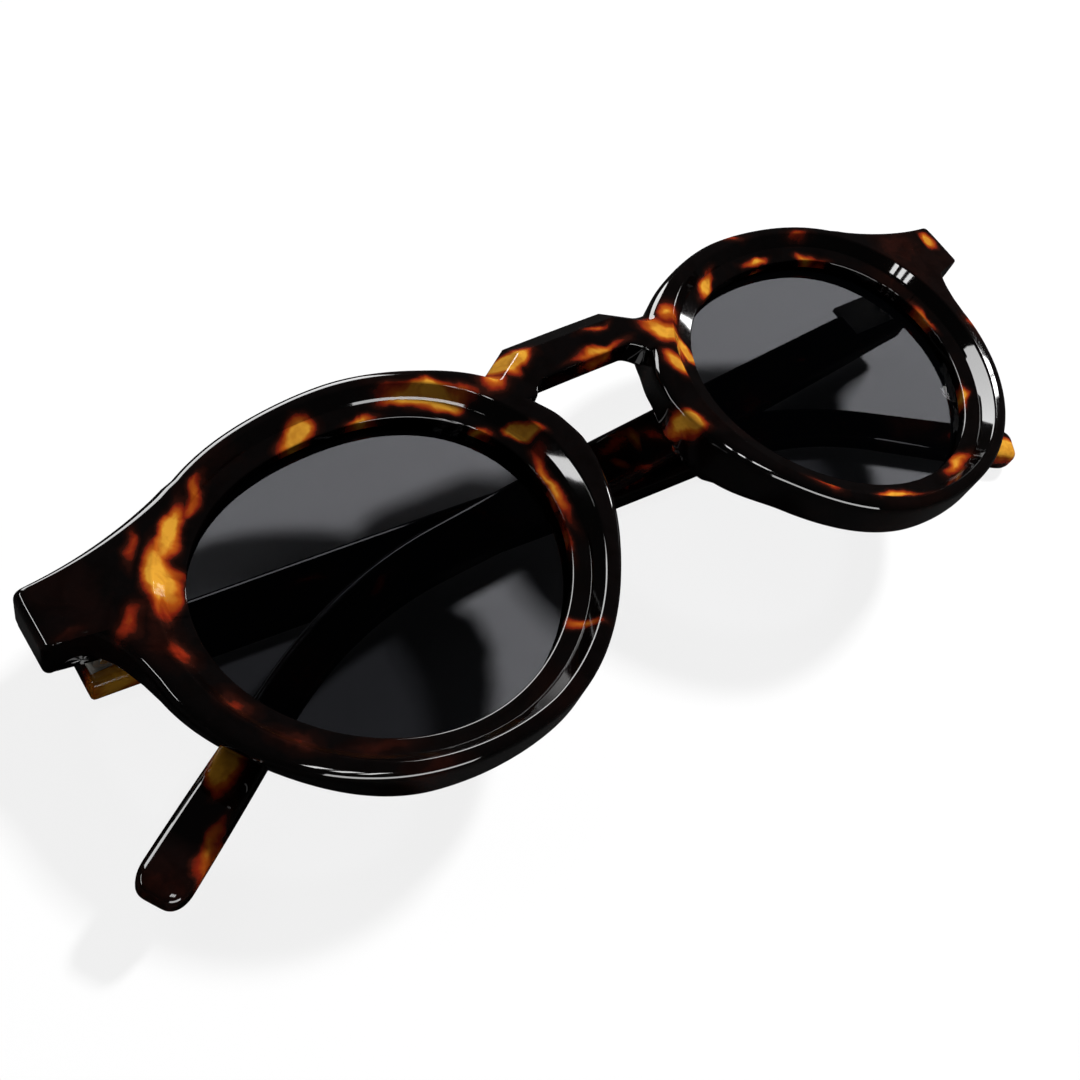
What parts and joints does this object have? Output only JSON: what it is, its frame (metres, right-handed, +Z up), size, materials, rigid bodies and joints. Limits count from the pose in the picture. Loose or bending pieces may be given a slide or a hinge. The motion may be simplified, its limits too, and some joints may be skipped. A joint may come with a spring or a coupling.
{
  "type": "sunglasses",
  "caption": "Round tortoiseshell sunglasses with stepped rims, a keyhole bridge, smoke lenses and bent temples that fold behind the front.",
  "frame": {"origin": "centre of the bounding box at its bottom, on the surface that the folded sunglasses lie on", "axes": "+Z up out of the face of the front, +Y towards the brow, +X towards the wearer's left lens"},
  "size_m": [0.1492, 0.0486, 0.0227],
  "materials": {
    "tortoiseshell": "polished",
    "smoke_lens": "polished",
    "hinge_metal": "satin",
    "screw_metal": "bright"
  },
  "bodies": {
    "front": {"front_frame": "tortoiseshell", "lens_left": "smoke_lens", "lens_right": "smoke_lens", "front_hinge_left": "hinge_metal", "front_hinge_right": "hinge_metal", "hinge_screw_left": "screw_metal", "hinge_screw_right": "screw_metal"},
    "temple_left": {"temple_left": "tortoiseshell", "temple_hinge_left": "hinge_metal"},
    "temple_right": {"temple_right": "tortoiseshell", "temple_hinge_right": "hinge_metal"}
  },
  "joints": [
    {"name": "left_temple_hinge", "type": "hinge", "parent": "front", "child": "temple_left", "pos_m": [0.06616, 0.01149, 0.0106], "axis": [0, -1, 0], "range_deg": [0, 93.9]},
    {"name": "right_temple_hinge", "type": "hinge", "parent": "front", "child": "temple_right", "pos_m": [-0.06616, 0.01149, 0.0062], "axis": [0, 1, 0], "range_deg": [0, 90.1]}
  ]
}
